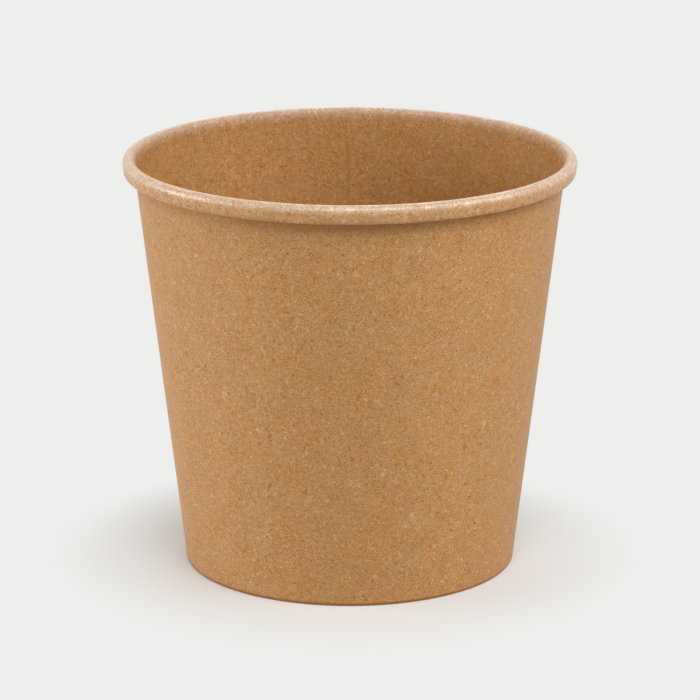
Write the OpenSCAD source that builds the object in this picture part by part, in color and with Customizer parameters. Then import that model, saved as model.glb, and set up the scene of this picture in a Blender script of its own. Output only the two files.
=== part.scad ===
// Round take-away soup bowl of brown kraft board. A fan-shaped blank is wrapped into
// a cone and lapped at a side seam, its top edge is rolled outwards into a rim, and its
// bottom edge is hemmed round the turned-down skirt of a flat base disc.
// Millimetres, Z up. The origin is the centre of the foot, on the table. The side seam
// is at the back, on +Y, with the inner ply's cut edge on the YZ plane.

/* [Bowl] */
// Outer diameter over the rolled rim
rim_d = 118; // [112:0.5:124]
// Height from the table to the top of the rim
bowl_h = 109; // [80:0.5:130]
// Outer diameter of the foot, where the wall meets the table
foot_d = 86.8; // [80:0.1:92]

/* [Board] */
// Thickness of the side wall's board
wall_t = 0.45; // [0.35:0.05:0.55]
// Thickness of the base disc's board
disc_t = 0.40; // [0.3:0.05:0.5]
// Play between two boards that lie against each other
play = 0.03; // [0.02:0.01:0.05]

/* [Rim] */
// Width of the roll, measured across the wall, with the wall's own board in it
roll_w = 3.3; // [3:0.1:3.8]
// Height of the roll, measured along the wall
roll_h = 4.85; // [4.4:0.05:6]
// Length of the board's free edge that is tucked up inside the roll
tuck_h = 1.2; // [0.5:0.1:1.5]

/* [Foot] */
// Height of the base disc's upper face above the table
disc_z = 9.5; // [8.5:0.5:14]
// Height of the hem, measured along the wall
hem_h = 6.5; // [5:0.5:6.5]
// Outer radius of the bend between the base disc and its skirt
disc_bend_r = 0.9; // [0.8:0.1:1.2]

/* [Side seam] */
// Width of the lap, from the inner ply's cut edge to the outer ply's
lap_w = 8; // [6:0.5:10]
// Length over which the lap is pressed flat at its ends
press_h = 5; // [3:1:8]

/* [Hidden] */
$fn = 180;
wall_colour = [0.72, 0.53, 0.33];
disc_colour = [0.67, 0.48, 0.29];
arc_step = 12;
lap_start = 72;
lap_span = 22;

// Lean of the wall from upright: it runs from the foot, as a tangent to the roll
rim_r = rim_d / 2;
foot_r = foot_d / 2;
top_r = roll_w / 2;
roll_out = rim_r - top_r - foot_r;
roll_up = bowl_h - top_r;
lean = atan(roll_out / roll_up) - asin((top_r - wall_t) / norm([roll_out, roll_up]));

// Directions in the section, as [radius, height]: up the wall, and out through it
up = [sin(lean), cos(lean)];
out = [cos(lean), -sin(lean)];

// Points in the section where the fold's two corners turn: one on the wall's inner
// face, one on the hem's outer face, with the disc's skirt between them
channel_w = disc_t + 2 * play;
wall_foot = [foot_r + (wall_t * sin(lean) - wall_t) / cos(lean), wall_t];
hem_foot = wall_foot - [channel_w / cos(lean), 0];

// The roll is two half rounds joined by straights: the larger one is level with the
// wall's inner face, and the smaller one closes under it against the wall's outer face
under_r = top_r - (wall_t + play) / 2;
top_c = [top_r, (bowl_h - top_r - wall_t + top_r * sin(lean)) / cos(lean)];
under_c = [2 * top_r - under_r, top_c[1] + top_r - roll_h + under_r];

// A point given across and along the wall, from the wall's foot, as [radius, height]
function on_wall(p, from = wall_foot) = from + p[0] * out + p[1] * up;
function on_wall_all(points) = [for (p = points) on_wall(p)];

// Points on an arc, ends included
function arc(c, r, a0, a1) =
    let (n = ceil(abs(a1 - a0) / arc_step))
    [for (i = [0 : n]) let (a = a0 + (a1 - a0) * i / n) c + r * [cos(a), sin(a)]];

// Section of the side wall's board, all in one: up the outer face, round the inside of
// the roll to the tucked edge, back round its outside, down the inner face and the fold
function wall_section() = concat(
    arc(wall_foot, wall_t, -90, -lean),
    on_wall_all(concat(
        arc(top_c, top_r - wall_t, 180, 0),
        arc(under_c, under_r - wall_t, 0, -180),
        [[under_c[0] - under_r + wall_t, under_c[1] + tuck_h],
         [under_c[0] - under_r, under_c[1] + tuck_h]],
        arc(under_c, under_r, -180, 0),
        arc(top_c, top_r, 0, 180),
        [[0, 0]])),
    [hem_foot,
     on_wall([0, hem_h], hem_foot),
     on_wall([-wall_t, hem_h], hem_foot)],
    arc(hem_foot, wall_t, 180 - lean, 270));

// The lap is a flat strip, two boards thick. Its inner ply stands proud of the wall's
// inner face at the cut edge, and its outer ply stands proud of the outer face at the
// other edge. The inner one reaches down to the disc, and both end at the roll
lap_low = (disc_z - wall_t + play) / cos(lean);
lap_top = under_c[1] - under_r - play;
lap_mid_r = foot_r + bowl_h / 2 * tan(lean);
lap_rise = sqrt(pow(lap_mid_r + wall_t, 2) - pow(lap_w, 2)) - lap_mid_r;

module ring(points, a0 = 0, span = 360) {
    rotate([0, 0, a0]) rotate_extrude(angle = span) polygon(points);
}

// Part of a ring round the wall where the lap is, thinned to nothing at its two ends.
// proud is how far it stands off the middle of the board, outwards if positive
module lap_ring(low, high, proud) {
    points = [[0, low], [proud, low + press_h], [proud, high - press_h], [0, high]];
    ring(on_wall_all([for (p = points) p + [wall_t / 2, 0]]), lap_start, lap_span);
}

// Box along the wall at the lap, between two planes given outwards from the outer face
module lap_box(inner, outer) {
    translate([0, foot_r, 0]) rotate([-lean, 0, 0])
        translate([0, inner, -wall_t]) cube([lap_w, outer - inner, 1.1 * bowl_h]);
}

module inner_ply() {
    intersection() {
        lap_ring(lap_low, top_c[1], -3 * wall_t);
        lap_box(-2 * wall_t, wall_t);
    }
}

module outer_ply() {
    intersection() {
        lap_ring(0, lap_top, 3 * wall_t);
        lap_box(-wall_t, lap_rise);
    }
}

module side_wall() {
    color(wall_colour) union() {
        ring(wall_section());
        inner_ply();
        outer_ply();
    }
}

// Section of the base disc: flat, bent down round its edge into a skirt along the wall
disc_bend_z = disc_z - disc_bend_r;
disc_bend_c = [foot_r + disc_bend_z * tan(lean) - (wall_t + play + disc_bend_r) / cos(lean), disc_bend_z];
skirt_h = (disc_bend_z - wall_t - play) / cos(lean) - disc_bend_r * tan(lean);
function disc_section() = concat(
    [[0, disc_z - disc_t]],
    arc(disc_bend_c, disc_bend_r - disc_t, 90, -lean),
    [on_wall([disc_bend_r - disc_t, -skirt_h], disc_bend_c),
     on_wall([disc_bend_r, -skirt_h], disc_bend_c)],
    arc(disc_bend_c, disc_bend_r, -lean, 90),
    [[0, disc_z]]);

module base_disc() {
    color(disc_colour) ring(disc_section());
}

side_wall();
base_disc();
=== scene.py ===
# %% [markdown]
# # A kraft soup bowl
# A take-away soup bowl is two pieces of brown kraft board. One is a fan-shaped blank,
# wrapped into a cone, rolled outwards at the rim and hemmed at the foot. The other is a
# round disc, set in above the foot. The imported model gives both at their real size, so
# this script only has to give them their smooth form, their fibres and their light.

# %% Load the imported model
import math

import bpy
import numpy as np
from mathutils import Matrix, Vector


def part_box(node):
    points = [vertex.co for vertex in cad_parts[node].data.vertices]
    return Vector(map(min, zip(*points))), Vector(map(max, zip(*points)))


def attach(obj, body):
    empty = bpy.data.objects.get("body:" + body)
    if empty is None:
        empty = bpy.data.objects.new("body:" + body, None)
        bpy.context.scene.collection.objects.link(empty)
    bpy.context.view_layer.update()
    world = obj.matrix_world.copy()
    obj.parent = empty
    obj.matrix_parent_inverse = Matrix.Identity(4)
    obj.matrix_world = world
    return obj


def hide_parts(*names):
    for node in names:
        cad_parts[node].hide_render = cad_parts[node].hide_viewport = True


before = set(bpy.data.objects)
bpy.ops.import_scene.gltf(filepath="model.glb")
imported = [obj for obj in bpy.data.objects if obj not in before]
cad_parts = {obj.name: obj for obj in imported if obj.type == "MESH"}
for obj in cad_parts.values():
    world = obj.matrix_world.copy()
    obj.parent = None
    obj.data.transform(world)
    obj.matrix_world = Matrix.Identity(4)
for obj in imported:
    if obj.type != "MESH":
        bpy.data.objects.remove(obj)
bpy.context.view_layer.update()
_, wall_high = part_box("side_wall")
_, disc_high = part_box("base_disc")
print("rim radius", round(wall_high.x, 5), "height", round(wall_high.z, 5))

# %% [markdown]
# ## The sizes of the section
# Everything about the bowl follows from one section through its wall. The rim's radius,
# the height and the disc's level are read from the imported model. The board's thickness
# and the foot are stated here, in metres, as the part's source states them. The wall's
# lean is worked out: it runs from the foot as a tangent to the roll.

# %% Sizes
MM = 0.001
RIM_R = wall_high.x
HEIGHT = wall_high.z
FOOT_R = 43.4 * MM
WALL_T = 0.45 * MM
DISC_T = 0.40 * MM
PLAY = 0.03 * MM
ROLL_W = 3.3 * MM
ROLL_H = 4.85 * MM
TUCK_H = 1.2 * MM
HEM_H = 6.5 * MM
DISC_Z = disc_high.z
DISC_BEND_R = 0.9 * MM
LAP_W = 8 * MM

roll_r = ROLL_W / 2
under_r = roll_r - (WALL_T + PLAY) / 2
roll_out = RIM_R - roll_r - FOOT_R
roll_up = HEIGHT - roll_r
LEAN = math.atan2(roll_out, roll_up) - math.asin((roll_r - WALL_T) / math.hypot(roll_out, roll_up))
UP = Vector((math.sin(LEAN), 0, math.cos(LEAN)))
OUT = Vector((math.cos(LEAN), 0, -math.sin(LEAN)))
print("the wall leans", round(math.degrees(LEAN), 2), "degrees")

# %% [markdown]
# ## Places on the section
# The bends of the board are turned about centres: one in the fold at the foot, and two
# in the roll. `on_wall` turns a place given across and along the wall into a point of
# the section, which is drawn in the XZ plane. Across is measured outwards from the
# wall's inner face.

# %% Bend centres
CHANNEL_W = DISC_T + 2 * PLAY
fold_r = (CHANNEL_W + WALL_T) / 2
WALL_ORIGIN = Vector((FOOT_R - WALL_T / math.cos(LEAN), 0, 0))


def on_wall(across, along):
    return WALL_ORIGIN + OUT * across + UP * along


def along_at(across, height):
    return (height + across * math.sin(LEAN)) / math.cos(LEAN)


fold_along = along_at(-CHANNEL_W / 2, fold_r + WALL_T / 2)
roll_along = along_at(roll_r, HEIGHT - roll_r)
under_along = roll_along + roll_r - ROLL_H + under_r
fold_centre = on_wall(-CHANNEL_W / 2, fold_along)
roll_centre = on_wall(roll_r, roll_along)
under_centre = on_wall(2 * roll_r - under_r, under_along)
print("roll centre", [round(c / MM, 2) for c in roll_centre], "mm")

# %% [markdown]
# ## Drawing a board by its path
# A sheet of board is its middle line with a thickness. The line is drawn the way the
# machine works the board: a straight run is an extrude, and a bend is a spin of the last
# vertex about the bend's centre. Drawing the line, and not both faces, keeps the board
# equally thick round every bend.

# %% Path tools


def deselect_all():
    if bpy.context.object and bpy.context.object.mode == "EDIT":
        bpy.ops.object.mode_set(mode="OBJECT")
    bpy.ops.object.select_all(action="DESELECT")


def start_path(name, place):
    """A new mesh of one vertex, left in edit mode with that vertex selected."""
    deselect_all()
    bpy.ops.mesh.primitive_plane_add(size=MM, location=(0, 0, 0))
    piece = bpy.context.object
    piece.name = name
    piece.data.name = name
    bpy.ops.object.mode_set(mode="EDIT")
    bpy.ops.mesh.select_mode(type="VERT")
    bpy.ops.mesh.merge(type="CENTER")
    bpy.ops.transform.translate(value=place)
    return piece


def run_straight(move, steps=1):
    for _ in range(steps):
        bpy.ops.mesh.extrude_region_move(TRANSFORM_OT_translate={"value": move / steps})


def bend_round(centre, degrees, steps):
    """Positive degrees turn from the inside of the bowl, under the centre, to the outside."""
    bpy.ops.mesh.spin(steps=steps, angle=math.radians(degrees), center=centre, axis=(0, 1, 0))


def path_end(piece):
    piece.update_from_editmode()
    return piece.data.vertices[len(piece.data.vertices) - 1].co.copy()


# %% [markdown]
# ## The side wall's path
# The path starts at the hem's free edge, inside the foot. It runs down, folds round
# under the disc's skirt, runs up the whole wall, rolls outwards over the rim, closes
# under the roll and ends in the short edge that is tucked inside it.

# %% Draw the side wall's path
WALL_STEPS = 44
ROLL_STEPS = 20

half_t = WALL_T / 2
hem_across = -CHANNEL_W - half_t
side_wall = start_path("side_wall_board", on_wall(hem_across, HEM_H))
run_straight(UP * (fold_along - HEM_H), 4)
bend_round(fold_centre, 180, 10)
run_straight(UP * (roll_along - fold_along), WALL_STEPS)
bend_round(roll_centre, -180, ROLL_STEPS)
run_straight(UP * (under_along - roll_along), 2)
bend_round(under_centre, -180, ROLL_STEPS)
run_straight(UP * TUCK_H)
print("path ends at", [round(c / MM, 3) for c in path_end(side_wall)],
      "wanted", [round(c / MM, 3) for c in on_wall(WALL_T + PLAY + half_t, under_along + TUCK_H)])

# %% [markdown]
# ## From path to sheet
# One full spin about the bowl's axis turns the path into a sheet with a column of faces
# for every degree. The real blank is lapped at the back, where the cut edge of each ply
# makes a small step. Cuts made by bisecting the back half give each step a narrow column
# of its own. The outer step is sharp. The inner one is sealed under the coating, so it
# slopes a little, over a column that ends at the middle of the back.

# %% Lathe tools
COLUMNS = 360
WELD = 0.001 * MM
STEP_W = 0.2 * MM
SEALED_W = 0.6 * MM
ON_PLANE = 0.02 * MM


def note_path_length(piece):
    """Walk the path from its first vertex and keep the length so far on each vertex."""
    bpy.ops.object.mode_set(mode="OBJECT")
    mesh = piece.data
    neighbours = {v.index: [] for v in mesh.vertices}
    for edge in mesh.edges:
        a, b = edge.vertices
        neighbours[a].append(b)
        neighbours[b].append(a)
    along = mesh.attributes.new("along", "FLOAT", "POINT")
    here, seen, length = 0, {0}, 0.0
    while here is not None:
        along.data[here].value = length
        ahead = [i for i in neighbours[here] if i not in seen]
        there = ahead[0] if ahead else None
        if ahead:
            length += (mesh.vertices[there].co - mesh.vertices[here].co).length
            seen.add(there)
        here = there
    bpy.ops.object.mode_set(mode="EDIT")
    return length


def lathe():
    bpy.ops.mesh.select_all(action="SELECT")
    bpy.ops.mesh.spin(steps=COLUMNS, angle=2 * math.pi, center=(0, 0, 0), axis=(0, 0, 1))
    bpy.ops.mesh.select_all(action="SELECT")
    bpy.ops.mesh.remove_doubles(threshold=WELD)
    bpy.ops.mesh.normals_make_consistent(inside=False)


def select_faces(piece, wanted):
    bpy.ops.object.mode_set(mode="OBJECT")
    for polygon in piece.data.polygons:
        polygon.select = wanted(polygon)
    bpy.ops.object.mode_set(mode="EDIT")
    bpy.ops.mesh.select_mode(type="FACE")


def column_cut(piece, x):
    select_faces(piece, lambda polygon: polygon.center.y > 0)
    bpy.ops.mesh.bisect(plane_co=(x, 0, 0), plane_no=(1, 0, 0), threshold=ON_PLANE)


# %% Spin the wall and cut the seam's columns
board_h = note_path_length(side_wall)
lathe()
for x in (-SEALED_W, LAP_W, LAP_W + STEP_W):
    column_cut(side_wall, x)
bpy.ops.object.mode_set(mode="OBJECT")
print("blank is", round(board_h / MM, 1), "mm high;", len(side_wall.data.polygons), "faces")

# %% [markdown]
# ## Thickness and the faces' finishes
# Solidify gives the sheet the board's thickness, half to each side. It also hands out
# material slots: the sheet's own side keeps the first, the other side gets the second
# and the cut edges the third. The board's bare side is the bowl's outside and the foot's
# inside, and its coated side is the bowl's inside and the outside of the roll.

# %% Give the wall its board
BARE, COATED, CUT = 0, 1, 2


def flip_faces():
    """Turn all faces of the active piece round."""
    bpy.ops.object.mode_set(mode="EDIT")
    bpy.ops.mesh.select_all(action="SELECT")
    bpy.ops.mesh.flip_normals()
    bpy.ops.object.mode_set(mode="OBJECT")


def face_bare_side_out(piece):
    """Turn the sheet so that its own side, the bare one, faces out of the bowl."""
    middle = min(piece.data.polygons, key=lambda polygon: abs(polygon.center.z - HEIGHT / 2))
    outwards = Vector((middle.center.x, middle.center.y, 0))
    if middle.normal.dot(outwards) < 0:
        flip_faces()


def apply_modifier(piece, kind, **settings):
    bpy.context.view_layer.objects.active = piece
    bpy.ops.object.modifier_add(type=kind)
    modifier = piece.modifiers[-1]
    for name, value in settings.items():
        setattr(modifier, name, value)
    bpy.ops.object.modifier_apply(modifier=modifier.name)


def give_thickness(piece, thickness):
    for _ in (BARE, COATED, CUT):
        piece.data.materials.append(None)
    apply_modifier(piece, "SOLIDIFY", thickness=thickness, offset=0, use_even_offset=True,
                   material_offset=COATED, material_offset_rim=CUT)


face_bare_side_out(side_wall)
give_thickness(side_wall, WALL_T)
for slot_index, side in enumerate(("bare", "coated", "cut")):
    count = sum(1 for polygon in side_wall.data.polygons if polygon.material_index == slot_index)
    print(side, count, "faces")

# %% [markdown]
# ## The lap at the side seam
# At the back the board is two plies thick for eight millimetres. Inside the bowl the
# inner ply's cut edge stands up from the wall by one board. Outside, the outer ply's
# edge does the same. A Displace modifier lifts each face along its normal, and a vertex
# group says how much: all of it at the cut edge, fading over the lap as the plies bend
# back to one wall. The lap is pressed flush at the foot and almost flush in the roll.

# %% Lift the two plies
LAP_RUN = 10 * MM
PRESS_H = 5 * MM
PRESSED = 0.2
ALONG_FOLD = HEM_H - fold_along + math.pi * fold_r
ALONG_ROLL = ALONG_FOLD + roll_along - fold_along
ALONG_DISC = ALONG_FOLD + DISC_Z / math.cos(LEAN) - fold_along


def points_on_side(piece, side):
    """The vertices of the faces that have one finish, as a true or false for each."""
    on_side = np.zeros(len(piece.data.vertices), bool)
    for polygon in piece.data.polygons:
        if polygon.material_index == side:
            on_side[list(polygon.vertices)] = True
    return on_side


def read_points(piece):
    mesh = piece.data
    places = np.empty(len(mesh.vertices) * 3)
    mesh.vertices.foreach_get("co", places)
    along = np.empty(len(mesh.vertices))
    mesh.attributes["along"].data.foreach_get("value", along)
    return places.reshape(-1, 3), along


def ramp(values, start, end):
    return np.clip((values - start) / (end - start), 0, 1)


def lift_faces(piece, name, weights, height):
    """Move vertices along their normals by a weight between nothing and the height."""
    group = piece.vertex_groups.new(name=name)
    for index in np.nonzero(weights > 0)[0]:
        group.add([int(index)], float(weights[index]), "REPLACE")
    apply_modifier(piece, "DISPLACE", direction="NORMAL", mid_level=0, strength=height,
                   vertex_group=name)


places, along = read_points(side_wall)
x, at_back = places[:, 0], places[:, 1] > 0
past_inner_cut = np.where((x > -SEALED_W / 2) & at_back, x, LAP_RUN)
past_outer_cut = np.where((x < LAP_W + STEP_W / 2) & at_back, LAP_W - x, LAP_RUN)
to_roll = 1 - (1 - PRESSED) * ramp(along, ALONG_ROLL - PRESS_H, ALONG_ROLL)
inner_lift = ramp(past_inner_cut, LAP_RUN, 0) ** 2 * to_roll
inner_lift *= ramp(along, ALONG_DISC, ALONG_DISC + PRESS_H) * points_on_side(side_wall, COATED)
outer_lift = ramp(past_outer_cut, LAP_RUN, 0) ** 2 * to_roll
outer_lift *= ramp(along, ALONG_FOLD, ALONG_FOLD + PRESS_H)
outer_lift *= points_on_side(side_wall, BARE) * (along < ALONG_ROLL + ROLL_W / 2)
lift_faces(side_wall, "lap", inner_lift + outer_lift, WALL_T)
print("lifted", int(np.count_nonzero(inner_lift)), "points inside and",
      int(np.count_nonzero(outer_lift)), "outside")

# %% Give the steps of the lap their cut edge
recut = 0
for polygon in side_wall.data.polygons:
    x, y, z = polygon.center
    on_inner_cut = polygon.material_index == COATED and -SEALED_W < x < 0
    on_outer_cut = polygon.material_index == BARE and LAP_W < x < LAP_W + STEP_W
    if y > 0 and DISC_Z < z < HEIGHT - ROLL_W / 2 and (on_inner_cut or on_outer_cut):
        polygon.material_index = CUT
        recut += 1
print(recut, "faces of the lap are cut edge")

# %% [markdown]
# ## The flat blank as a UV map
# The fibres lie in the board, so they must follow it round the cone and over the roll,
# and break where the plies lap. The true map for that is the flat blank itself: a cone
# unrolls into a fan. How far a point is from the fan's centre is its length along the
# path, and its angle in the fan is its angle round the bowl times the sine of the lean.
# The map is in metres, so the fibres get their real size.

# %% Map the wall to its flat blank
FAN_FOOT = FOOT_R / math.sin(LEAN) - ALONG_FOLD


def round_the_bowl(x, y, centre, side):
    """Angle from the front, -Y, and cut at the back where the ply of this side is cut."""
    angle = math.atan2(x, -y)
    if centre.y > 0:
        if centre.x > 0 and angle < 0:
            angle += 2 * math.pi
        if centre.x < 0 and angle > 0:
            angle -= 2 * math.pi
        if side == BARE and 0 < centre.x < LAP_W:
            angle -= 2 * math.pi
    return angle


def map_blank(piece, place_of):
    """Give each corner of each face the place that place_of works out for it."""
    mesh = piece.data
    blank = mesh.uv_layers.new(name="blank")
    lengths = mesh.attributes["along"].data
    for polygon in mesh.polygons:
        for corner in polygon.loop_indices:
            index = mesh.loops[corner].vertex_index
            place = mesh.vertices[index].co
            blank.data[corner].uv = place_of(place, lengths[index].value, polygon)


def place_in_fan(place, length, polygon):
    angle = round_the_bowl(place.x, place.y, polygon.center, polygon.material_index)
    fan_r = FAN_FOOT + length
    fan_angle = angle * math.sin(LEAN)
    return fan_r * math.sin(fan_angle), -fan_r * math.cos(fan_angle)


map_blank(side_wall, place_in_fan)
print("fan centre to foot", round(FAN_FOOT / MM), "mm, fan angle",
      round(360 * math.sin(LEAN), 1), "degrees")

# %% [markdown]
# ## The base disc
# The base is a round disc whose edge is turned down into a skirt, so that the wall can
# be hemmed round it. It is made as the wall is: its middle line is drawn, spun about the
# axis and given its thickness. The pole at its centre is welded before that.

# %% Draw and spin the base disc
DISC_STEPS = 12
disc_bend_z = DISC_Z - DISC_BEND_R
disc_bend_x = FOOT_R + disc_bend_z * math.tan(LEAN) - (WALL_T + PLAY + DISC_BEND_R) / math.cos(LEAN)
disc_bend_centre = Vector((disc_bend_x, 0, disc_bend_z))
skirt_h = (disc_bend_z - WALL_T - PLAY) / math.cos(LEAN) - DISC_BEND_R * math.tan(LEAN)

base_disc = start_path("base_disc_board", Vector((0, 0, DISC_Z - DISC_T / 2)))
run_straight(Vector((disc_bend_x, 0, 0)), DISC_STEPS)
bend_round(disc_bend_centre, -(90 + math.degrees(LEAN)), 10)
run_straight(UP * -skirt_h, 3)
note_path_length(base_disc)
lathe()
bpy.ops.object.mode_set(mode="OBJECT")
print("disc:", len(base_disc.data.polygons), "faces, lowest",
      round(min(v.co.z for v in base_disc.data.vertices) / MM, 3), "mm")


# %% Give the disc its board
def face_bare_side_down(piece):
    """Turn the disc so that its bare side is underneath and its coated side holds the soup."""
    flat = max(piece.data.polygons, key=lambda polygon: polygon.center.z)
    if flat.normal.z > 0:
        flip_faces()


def place_on_round(place, length, polygon):
    angle = math.atan2(place.y, place.x)
    return length * math.cos(angle), length * math.sin(angle)


face_bare_side_down(base_disc)
give_thickness(base_disc, DISC_T)
map_blank(base_disc, place_on_round)
print("disc board:", len(base_disc.data.polygons), "faces")

# %% [markdown]
# ## Smooth faces, sharp edges
# Shade smooth by angle smooths the round surfaces and keeps the cut edges crisp. Cut board
# has no rounding that the eye could see, so no bevel is added.

# %% Smooth both pieces
SHARP = math.radians(40)
for piece in (side_wall, base_disc):
    deselect_all()
    piece.select_set(True)
    bpy.context.view_layer.objects.active = piece
    bpy.ops.object.shade_smooth_by_angle(angle=SHARP)
    print(piece.name, len(piece.data.polygons), "faces")

# %% [markdown]
# ## Brown kraft fibres
# Kraft board is made of unbleached wood fibres pressed flat. Seen close, it is a fine
# grain of paler and darker fibre ends, short curly pale fibres, a few dark specks of
# bark, and slow clouds where the pulp lay thicker. One node group makes all of it from
# the blank's UV map, so all finishes share it and each sets its own amounts. The curly
# fibres are a few contour lines of a noise, thin and winding, and a second noise breaks
# them into short pieces. Contours that lie close and even make the felt, where fibres are
# packed side by side.

# %% Node tools


def new_group(name, inputs, outputs):
    """A shader node group with named sockets: each is a name, a type and a default."""
    tree = bpy.data.node_groups.new(name, "ShaderNodeTree")
    for socket_name, kind, default in inputs:
        socket = tree.interface.new_socket(socket_name, in_out="INPUT", socket_type=kind)
        if default is not None:
            socket.default_value = default
    for socket_name, kind in outputs:
        tree.interface.new_socket(socket_name, in_out="OUTPUT", socket_type=kind)
    return tree, tree.nodes.new("NodeGroupInput"), tree.nodes.new("NodeGroupOutput")


def put(tree, socket, value):
    """Join another node's output to a socket, or write a plain value on it."""
    if isinstance(value, bpy.types.NodeSocket):
        tree.links.new(value, socket)
    else:
        socket.default_value = value


def math_node(tree, operation, *values):
    node = tree.nodes.new("ShaderNodeMath")
    node.operation = operation
    for socket, value in zip(node.inputs, values):
        put(tree, socket, value)
    return node.outputs[0]


def range_node(tree, value, low, high, new_low=0.0, new_high=1.0):
    """A smooth step from low to high."""
    node = tree.nodes.new("ShaderNodeMapRange")
    node.interpolation_type = "SMOOTHSTEP"
    for socket, setting in zip(node.inputs, (value, low, high, new_low, new_high)):
        put(tree, socket, setting)
    return node.outputs["Result"]


def mix_colours(tree, factor, first, second):
    node = tree.nodes.new("ShaderNodeMix")
    node.data_type = "RGBA"
    put(tree, node.inputs["Factor"], factor)
    put(tree, node.inputs["A"], first)
    put(tree, node.inputs["B"], second)
    return node.outputs["Result"]


def noise_node(tree, vector, scale, detail=1.0, roughness=0.5, distortion=0.0, offset=(0, 0)):
    """Flat noise that swings evenly about nothing, its place moved by the offset."""
    move = tree.nodes.new("ShaderNodeVectorMath")
    move.operation = "ADD"
    put(tree, move.inputs[0], vector)
    move.inputs[1].default_value = (*offset, 0)
    noise = tree.nodes.new("ShaderNodeTexNoise")
    noise.noise_dimensions = "2D"
    put(tree, noise.inputs["Vector"], move.outputs[0])
    settings = {"Scale": scale, "Detail": detail, "Roughness": roughness, "Distortion": distortion}
    for name, value in settings.items():
        put(tree, noise.inputs[name], value)
    return math_node(tree, "SUBTRACT", noise.outputs["Fac"], 0.5)


# %% Fibres and specks
# How fine each noise is: its swings in a metre of board.
FINE_GRAIN, COARSE_GRAIN = 3300, 1300
LONG_FIBRES, SHORT_FIBRES, DARK_FIBRES, FIBRE_BREAKS = 360, 560, 480, 650
FELT_FIBRES, BARK_CELLS = 400, 420
CLOUD_PATCHES, WARM_PATCHES, PINK_PATCHES = 150, 100, 120
# Half the step between the contours that become fibres, in the noise's own height.
FIBRE_STEP, FELT_STEP = 0.1, 0.08
# A speck's dark heart and its rim, as shares of its cell, and the share of cells with none.
SPECK_HEART, SPECK_RIM, PLAIN_CELLS = 0.03, 0.16, 0.8


def contours(tree, noise, step, width):
    """One along the noise's contour lines, falling to nothing over their width."""
    return range_node(tree, math_node(tree, "PINGPONG", noise, step), 0.0, width, 1.0, 0.0)


def curly_lines(tree, blank, scale, width, offset):
    """Short winding lines: a few contours of one noise, broken up by another."""
    winding = noise_node(tree, blank, scale, detail=1, distortion=0.8, offset=offset)
    broken = noise_node(tree, blank, FIBRE_BREAKS, detail=1, offset=(offset[1], offset[0]))
    return math_node(tree, "MULTIPLY", contours(tree, winding, FIBRE_STEP, width),
                     range_node(tree, broken, 0.0, 0.1))


def felt(tree, blank):
    """Fibres packed side by side: evenly spaced contours of a noise, swinging about nothing."""
    winding = noise_node(tree, blank, FELT_FIBRES, detail=1, distortion=1.2, offset=(0.1, 0.3))
    return math_node(tree, "SUBTRACT", contours(tree, winding, FELT_STEP, FELT_STEP), 0.5)


def bark_specks(tree, blank):
    """A few of a voronoi's cells hold a small dark dot."""
    cells = tree.nodes.new("ShaderNodeTexVoronoi")
    cells.voronoi_dimensions = "2D"
    put(tree, cells.inputs["Vector"], blank)
    cells.inputs["Scale"].default_value = BARK_CELLS
    dot = range_node(tree, cells.outputs["Distance"], SPECK_HEART, SPECK_RIM, 1.0, 0.0)
    draw = tree.nodes.new("ShaderNodeSeparateColor")
    put(tree, draw.inputs["Color"], cells.outputs["Color"])
    return math_node(tree, "MULTIPLY", dot, range_node(tree, draw.outputs["Red"], PLAIN_CELLS, 1.0))


def add_colours(tree, amount, tint, base):
    """The base colour with an amount of the tint added, or taken off if it is negative."""
    node = tree.nodes.new("ShaderNodeVectorMath")
    node.operation = "MULTIPLY_ADD"
    for socket, value in zip(node.inputs, (amount, tint, base)):
        put(tree, socket, value)
    return node.outputs[0]


# %% The fibre group
PALER_FIBRE = (0.24, 0.235, 0.19)
WARMER = (0.16, -0.02, -0.07)
PINKER = (0.03, -0.022, 0.02)
COARSE_SHARE = 0.4
DARK_SHARE = 0.9
DULL, SHINY = -0.25, 0.35


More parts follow.
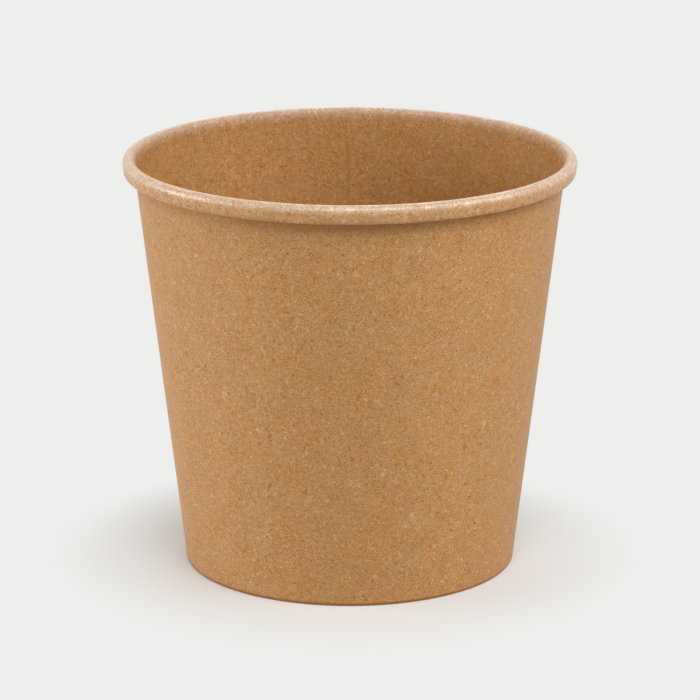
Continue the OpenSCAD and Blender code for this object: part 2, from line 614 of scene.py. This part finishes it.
def make_fibres():
    """The whole look of the board: its colour, its relief, and where its fibres catch light."""
    tree, enter, leave = new_group(
        "kraft_fibres",
        [("Blank", "NodeSocketVector", None),
         ("Board", "NodeSocketColor", (0.4, 0.2, 0.07, 1)),
         ("Bark", "NodeSocketColor", (0.1, 0.05, 0.02, 1)),
         ("Paler", "NodeSocketVector", PALER_FIBRE),
         ("Grain", "NodeSocketFloat", 1.0),
         ("Fibres", "NodeSocketFloat", 1.0),
         ("Felt", "NodeSocketFloat", 1.0),
         ("Clouds", "NodeSocketFloat", 1.0),
         ("Drift", "NodeSocketFloat", 1.0),
         ("Specks", "NodeSocketFloat", 1.0)],
        [("Color", "NodeSocketColor"),
         ("Height", "NodeSocketFloat"),
         ("Shine", "NodeSocketFloat")])
    blank = enter.outputs["Blank"]
    fine = noise_node(tree, blank, FINE_GRAIN, detail=1, offset=(0.3, 0.1))
    coarse = noise_node(tree, blank, COARSE_GRAIN, detail=1, distortion=0.6, offset=(0.7, 0.5))
    grain = math_node(tree, "MULTIPLY_ADD", coarse, COARSE_SHARE, fine)
    grain = math_node(tree, "MULTIPLY", grain, enter.outputs["Grain"])
    long_lines = curly_lines(tree, blank, LONG_FIBRES, width=0.022, offset=(0.2, 0.9))
    short_lines = curly_lines(tree, blank, SHORT_FIBRES, width=0.03, offset=(0.8, 0.4))
    dark_lines = curly_lines(tree, blank, DARK_FIBRES, width=0.026, offset=(0.5, 0.1))
    lines = math_node(tree, "MAXIMUM", long_lines, short_lines)
    lines = math_node(tree, "MULTIPLY_ADD", dark_lines, -DARK_SHARE, lines)
    fibred = math_node(tree, "MULTIPLY_ADD", lines, enter.outputs["Fibres"], grain)
    fibred = math_node(tree, "MULTIPLY_ADD", felt(tree, blank), enter.outputs["Felt"], fibred)
    cloud = noise_node(tree, blank, CLOUD_PATCHES, detail=3, roughness=0.6, offset=(0.4, 0.6))
    tone = math_node(tree, "MULTIPLY_ADD", cloud, enter.outputs["Clouds"], fibred)
    warmth = noise_node(tree, blank, WARM_PATCHES, detail=5, roughness=0.95, offset=(0.6, 0.2))
    warmth = math_node(tree, "MULTIPLY", warmth, enter.outputs["Drift"])
    blush = noise_node(tree, blank, PINK_PATCHES, detail=4, roughness=0.9, offset=(0.5, 0.8))
    blush = math_node(tree, "MULTIPLY", blush, enter.outputs["Drift"])
    speck = math_node(tree, "MULTIPLY", bark_specks(tree, blank), enter.outputs["Specks"])
    colour = add_colours(tree, tone, enter.outputs["Paler"], enter.outputs["Board"])
    colour = add_colours(tree, warmth, WARMER, colour)
    colour = add_colours(tree, blush, PINKER, colour)
    colour = mix_colours(tree, speck, colour, enter.outputs["Bark"])
    put(tree, leave.inputs["Color"], colour)
    put(tree, leave.inputs["Height"], fibred)
    put(tree, leave.inputs["Shine"], range_node(tree, fibred, DULL, SHINY))
    return tree


fibres_group = make_fibres()
print(fibres_group.name, len(fibres_group.nodes), "nodes")

# %% [markdown]
# ## Three finishes of one board
# The bare side is matt, with its fibres standing a little proud. Its colour is darkened
# under the roll and in a thin line along the fold at the foot: this is painted shade, for
# the roll's shadow on the wall and the foot's contact shadow. The coated side has a thin
# clear film over the same fibres. The film shows on the roll, where it takes a soft sheen
# from the coat and its colour is whitened where it rounds over: partly the real whitening
# of the stretched film, partly a painted highlight. The cut edge shows raw, pale fibre.
# Where on the board each of these lies is read from the blank's map, so it follows the
# bends by itself.

# %% Colours and places on the board


def srgb(r, g, b):
    """A colour as a picture editor gives it, from 0 to 255, in Blender's linear values."""
    linear = [(c / 255 / 12.92) if c <= 10 else ((c / 255 + 0.055) / 1.055) ** 2.4 for c in (r, g, b)]
    return (*linear, 1)


KRAFT = srgb(187, 136, 79)
COATED_KRAFT = srgb(190, 139, 83)
RAW_EDGE = srgb(204, 156, 100)
BARK = srgb(128, 78, 32)
# A painted shade colour, for the roll's shadow on the wall and the contact shadow at the foot.
PAINTED_SHADE = srgb(152, 92, 0)
# A tint that whitens the roll: partly the stretched film's real whitening, partly a painted highlight.
STRETCH_AND_HIGHLIGHT_TINT = (0.75, 1.0, 1.1)

# Lengths along the board, counted from where the roll begins.
FILM_SHOWS = (0.5 * MM, 2.5 * MM)
FILM_FADES = (5.0 * MM, 7.4 * MM)
# Where the roll's colour is whitened, partly real stretch whitening and partly a painted highlight.
STRETCH_AND_HIGHLIGHT_GROWS = (-2.0 * MM, 1.2 * MM)
STRETCH_AND_HIGHLIGHT_ENDS = (3.4 * MM, 5.2 * MM)
# Where the painted shade lies: under the roll, and in a thin line at the fold of the foot.
SHADE_UNDER_ROLL = (-8 * MM, -3.2 * MM)
FOOT_SHADE_LINE = ALONG_FOLD - ALONG_ROLL
FOOT_SHADE_LINE_W = 0.5 * MM
# How much of the film still shows under the roll, and how dark the painted shade is under the roll and
# along the fold at the foot.
FILM_LEFT, PAINTED_ROLL_SHADE, PAINTED_FOOT_SHADE = 0.6, 0.6, 0.9
print("foot line", round(FOOT_SHADE_LINE / MM, 1), "mm along the board from the roll")


# %% Masks for the roll and the creases
def make_rolled():
    """Masks from the blank's map: the film on the roll; where its colour is whitened, partly
    for the stretched film and partly as a painted highlight; and the painted shade under
    the roll and along the fold at the foot."""
    tree, enter, leave = new_group(
        "rolled_rim_and_painted_shade",
        [("Blank", "NodeSocketVector", None)],
        [("Rolled", "NodeSocketFloat"),
         ("StretchAndHighlight", "NodeSocketFloat"),
         ("PaintedShade", "NodeSocketFloat")])
    reach = tree.nodes.new("ShaderNodeVectorMath")
    reach.operation = "LENGTH"
    put(tree, reach.inputs[0], enter.outputs["Blank"])
    past = math_node(tree, "SUBTRACT", reach.outputs["Value"], FAN_FOOT + ALONG_ROLL)
    begins = range_node(tree, past, *FILM_SHOWS)
    ends = range_node(tree, past, *FILM_FADES, 1.0, FILM_LEFT)
    put(tree, leave.inputs["Rolled"], math_node(tree, "MULTIPLY", begins, ends))
    # Whitening of the roll: partly the stretched film, partly a painted highlight.
    rise = range_node(tree, past, *STRETCH_AND_HIGHLIGHT_GROWS)
    fall = range_node(tree, past, *STRETCH_AND_HIGHLIGHT_ENDS, 1.0, 0.0)
    put(tree, leave.inputs["StretchAndHighlight"], math_node(tree, "MULTIPLY", rise, fall))
    # Painted shade under the roll and along the fold at the foot.
    roll_shade = range_node(tree, past, *SHADE_UNDER_ROLL, 0.0, PAINTED_ROLL_SHADE)
    fold_shade = range_node(tree, past, FOOT_SHADE_LINE, FOOT_SHADE_LINE + FOOT_SHADE_LINE_W, PAINTED_FOOT_SHADE, 0.0)
    put(tree, leave.inputs["PaintedShade"], math_node(tree, "MAXIMUM", roll_shade, fold_shade))
    return tree


rolled_group = make_rolled()
print(rolled_group.name, len(rolled_group.nodes), "nodes")


# %% Finish tools
def place_group(tree, group, blank):
    """A node of the group in a material, with the blank's map joined to it."""
    node = tree.nodes.new("ShaderNodeGroup")
    node.node_tree = group
    put(tree, node.inputs["Blank"], blank)
    return node


def make_finish(name, board, amounts, bump, surface):
    """A Principled material over the fibres; surface sets the shader's own sockets."""
    material = bpy.data.materials.new(name)
    material.use_nodes = True
    tree = material.node_tree
    shader = tree.nodes["Principled BSDF"]
    blank = tree.nodes.new("ShaderNodeUVMap")
    blank.uv_map = "blank"
    fibre = place_group(tree, fibres_group, blank.outputs["UV"])
    for socket, value in {"Board": board, "Bark": BARK, **amounts}.items():
        fibre.inputs[socket].default_value = value
    put(tree, shader.inputs["Base Color"], fibre.outputs["Color"])
    relief = tree.nodes.new("ShaderNodeBump")
    relief.inputs["Distance"].default_value = bump
    put(tree, relief.inputs["Height"], fibre.outputs["Height"])
    put(tree, shader.inputs["Normal"], relief.outputs["Normal"])
    for socket, value in surface.items():
        shader.inputs[socket].default_value = value
    return material, tree, shader, blank, fibre


# %% The bare side and the cut edge
FIBRE_RELIEF = 0.006 * MM
CUT_RELIEF = 0.02 * MM

kraft_bare, tree, shader, blank, fibre = make_finish(
    "kraft_bare", KRAFT,
    {"Paler": PALER_FIBRE, "Grain": 1.5, "Fibres": 0.5, "Felt": 0.15, "Clouds": 0.3,
     "Drift": 1.0, "Specks": 0.6},
    FIBRE_RELIEF, {"Roughness": 0.55})
# Painted shade: the bare colour is darkened towards the shade colour under the roll and at the fold of
# the foot.
painted_shade = place_group(tree, rolled_group, blank.outputs["UV"]).outputs["PaintedShade"]
put(tree, shader.inputs["Base Color"],
    mix_colours(tree, painted_shade, fibre.outputs["Color"], PAINTED_SHADE))
kraft_cut, *_ = make_finish(
    "kraft_cut", RAW_EDGE,
    {"Paler": PALER_FIBRE, "Grain": 1.0, "Fibres": 0.2, "Felt": 0.0, "Clouds": 0.2,
     "Drift": 1.0, "Specks": 0.2},
    CUT_RELIEF, {"Roughness": 0.9})
print(kraft_bare.name, "and", kraft_cut.name, "made")

# %% The coated side
PALER_COATED = (0.28, 0.25, 0.17)
# What the whitening adds on dull and on shiny fibres, partly real stretch whitening and partly a
# painted highlight, and how much coat they show.
WHITE_DULL, WHITE_SHINY = 0.13, 0.2
COAT_DULL, COAT_SHINY = 0.35, 1.0
COATED_ROUGH = 0.7
ROLL_SMOOTHER = 0.25

kraft_coated, tree, shader, blank, fibre = make_finish(
    "kraft_coated", COATED_KRAFT,
    {"Paler": PALER_COATED, "Grain": 0.55, "Fibres": 0.45, "Felt": 0.42, "Clouds": 0.3,
     "Drift": 0.95, "Specks": 0.5},
    FIBRE_RELIEF, {"Coat Roughness": 0.36, "Coat IOR": 1.75, "Specular IOR Level": 0.3})
rolled = place_group(tree, rolled_group, blank.outputs["UV"])
# Partly real stretch whitening, partly a painted highlight: the roll's colour is whitened, most on the
# shiny fibres.
stretch_and_highlight = math_node(tree, "MULTIPLY", rolled.outputs["StretchAndHighlight"],
                     range_node(tree, fibre.outputs["Shine"], 0.0, 1.0, WHITE_DULL, WHITE_SHINY))
put(tree, shader.inputs["Base Color"],
    add_colours(tree, stretch_and_highlight, STRETCH_AND_HIGHLIGHT_TINT, fibre.outputs["Color"]))
glossy = range_node(tree, fibre.outputs["Shine"], 0.0, 1.0, COAT_DULL, COAT_SHINY)
sheen = math_node(tree, "MULTIPLY", rolled.outputs["Rolled"], glossy)
put(tree, shader.inputs["Coat Weight"], sheen)
put(tree, shader.inputs["Roughness"],
    math_node(tree, "MULTIPLY_ADD", rolled.outputs["Rolled"], -ROLL_SMOOTHER, COATED_ROUGH))
print(kraft_coated.name, len(tree.nodes), "nodes")

# %% Put the finishes on the faces
for piece in (side_wall, base_disc):
    for slot_index, finish in enumerate((kraft_bare, kraft_coated, kraft_cut)):
        piece.data.materials[slot_index] = finish
    print(piece.name, [finish.name for finish in piece.data.materials])

# %% [markdown]
# ## Put the pieces in the frame
# Each piece rides on the part's only body and stands for its plain solid, which is hidden.

# %% Tell the frame about the pieces
BOARDS = ((side_wall, "side_wall", "kraft_wall"), (base_disc, "base_disc", "kraft_base"))
for piece, node, slot in BOARDS:
    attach(piece, "root")
    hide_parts(node)
    print(piece.name, "stands for", node)

# %% [markdown]
# ## A plain pale floor
# The bowl stands on a plain pale floor that fills the picture. Near the bowl the floor is
# matt and takes its shadow. Further off the lamps would let it fall dark, so it fades
# into an even pale tone that only the camera and reflections see, and that lights nothing.
# A quarter of that tone is mixed in close to the bowl too, so that the shadow stays light.

# %% Floor
FLOOR_SIZE = 8.0
FLOOR_TONE = srgb(236, 236, 234)
FAR_TONE = srgb(238, 238, 236)
NEAR_R, FAR_R = 0.042, 0.085
EVEN_SHARE = 0.25


def seen_only(tree):
    """One where the camera or a reflection looks, nothing where light is gathered."""
    path = tree.nodes.new("ShaderNodeLightPath")
    return math_node(tree, "MAXIMUM", path.outputs["Is Camera Ray"], path.outputs["Is Glossy Ray"])


deselect_all()
bpy.ops.mesh.primitive_plane_add(size=FLOOR_SIZE, location=(0, 0, 0))
floor = bpy.context.object
floor.name = "floor"
floor_finish = bpy.data.materials.new("pale_floor")
floor_finish.use_nodes = True
tree = floor_finish.node_tree
floor_shader = tree.nodes["Principled BSDF"]
floor_shader.inputs["Base Color"].default_value = FLOOR_TONE
floor_shader.inputs["Roughness"].default_value = 0.9
floor_shader.inputs["Specular IOR Level"].default_value = 0.2
place = tree.nodes.new("ShaderNodeTexCoord")
reach = tree.nodes.new("ShaderNodeVectorMath")
reach.operation = "LENGTH"
put(tree, reach.inputs[0], place.outputs["Object"])
far = range_node(tree, reach.outputs["Value"], NEAR_R, FAR_R, EVEN_SHARE, 1.0)
even = tree.nodes.new("ShaderNodeEmission")
even.inputs["Color"].default_value = FAR_TONE
fade = tree.nodes.new("ShaderNodeMixShader")
put(tree, fade.inputs[0], math_node(tree, "MULTIPLY", far, seen_only(tree)))
put(tree, fade.inputs[1], floor_shader.outputs[0])
put(tree, fade.inputs[2], even.outputs[0])
put(tree, tree.nodes["Material Output"].inputs["Surface"], fade.outputs[0])
floor.data.materials.append(floor_finish)
print("floor", FLOOR_SIZE, "m wide, even from", FAR_R, "m out")

# %% [markdown]
# ## Soft studio light
# Small lamps would make hard shadows and hot spots on the rim. Five large round softboxes
# light the bowl instead. The strongest stands low on the left. The next two are on the
# right and high in front, and two weak ones fill the right front and the back. The world
# adds a little fill of its own, and is white only where the camera or a reflection looks.

# %% Lights
AIM = Vector((0, 0, 0.055))


def round_place(azimuth, elevation, distance, aim=AIM):
    """A place seen from the aim: azimuth from the front, -Y, towards +X, in degrees."""
    a, e = math.radians(azimuth), math.radians(elevation)
    return aim + distance * Vector((math.sin(a) * math.cos(e), -math.cos(a) * math.cos(e), math.sin(e)))


def softbox(name, azimuth, elevation, size, power, distance=1.2):
    """A round lamp that looks at the bowl: degrees, metres across, watts and metres away."""
    place = round_place(azimuth, elevation, distance)
    bpy.ops.object.light_add(type="AREA", location=place)
    lamp = bpy.context.object
    lamp.name = name
    lamp.data.shape = "DISK"
    lamp.data.size = size
    lamp.data.energy = power
    lamp.rotation_euler = (place - AIM).to_track_quat("Z", "Y").to_euler()
    return lamp


lamps = [softbox("left_softbox", -86, 8, 0.9, 10.8),
         softbox("right_softbox", 75, 30, 0.8, 5.4),
         softbox("front_softbox", 6, 55, 0.6, 5.9),
         softbox("right_front_softbox", 45, 40, 0.6, 2.5),
         softbox("back_softbox", 180, 43, 0.8, 2.3)]
print(len(lamps), "softboxes,", round(sum(lamp.data.energy for lamp in lamps), 1), "W together")

WORLD_FILL = 0.05
world = bpy.data.worlds.new("studio")
bpy.context.scene.world = world
world.use_nodes = True
tree = world.node_tree
background = tree.nodes["Background"]
background.inputs["Color"].default_value = (1, 1, 1, 1)
put(tree, background.inputs["Strength"], math_node(tree, "MAXIMUM", seen_only(tree), WORLD_FILL))

# %% [markdown]
# ## The camera
# The bowl is seen from its front, from a little above the rim and about a metre away.
# A long lens keeps its sides from converging more than they do on the real bowl.

# %% Camera
CAMERA_UP = 15.70
CAMERA_FAR = 1.0057
CAMERA_LENS = 196.45
camera_aim = Vector((0.05 * MM, 0, 56.09 * MM))
camera_place = round_place(0, CAMERA_UP, CAMERA_FAR, camera_aim)
deselect_all()
bpy.ops.object.camera_add(location=camera_place)
camera = bpy.context.object
camera.data.lens = CAMERA_LENS
camera.data.sensor_width = 36
camera.rotation_euler = (math.radians(90 - CAMERA_UP), 0, 0)
bpy.context.scene.camera = camera
bpy.context.scene.view_settings.view_transform = "Standard"
print("camera", round(camera_place.length, 3), "m from the foot's centre, lens", CAMERA_LENS, "mm")
